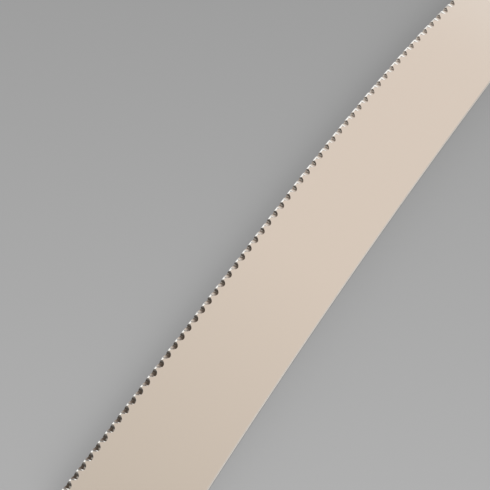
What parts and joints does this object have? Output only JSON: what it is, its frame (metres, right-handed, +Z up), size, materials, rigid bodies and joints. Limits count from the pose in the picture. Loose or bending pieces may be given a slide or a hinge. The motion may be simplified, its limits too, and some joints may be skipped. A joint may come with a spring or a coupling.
{
  "type": "cake knife",
  "caption": "Cake knife with a long sabre-swept, flat-ground blade, a scalloped edge and a riveted wooden full-tang handle between polished bolsters, for slicing cake.",
  "frame": {"origin": "bottom centre of the box round the knife, on the surface it lies on", "axes": "+X from the butt to the point, +Y from the spine to the cutting edge, +Z up out of the scalloped face, with the knife lying on its side"},
  "size_m": [0.3192, 0.0284, 0.015],
  "materials": {
    "blade_steel": "mirror-polished stainless steel",
    "bolster_steel": "mirror-polished stainless steel",
    "fixing_steel": "stainless steel, ground flush and buffed",
    "grip_wood": "oiled dark hardwood"
  },
  "bodies": {
    "root": {"blade": "blade_steel", "front_bolster_left": "bolster_steel", "front_bolster_right": "bolster_steel", "front_bolster_pins": "fixing_steel", "scale_left": "grip_wood", "scale_right": "grip_wood", "rivet_sleeves": "fixing_steel", "rivet_studs": "fixing_steel", "rear_bolster_left": "bolster_steel", "rear_bolster_right": "bolster_steel", "rear_bolster_pins": "fixing_steel"}
  },
  "joints": []
}
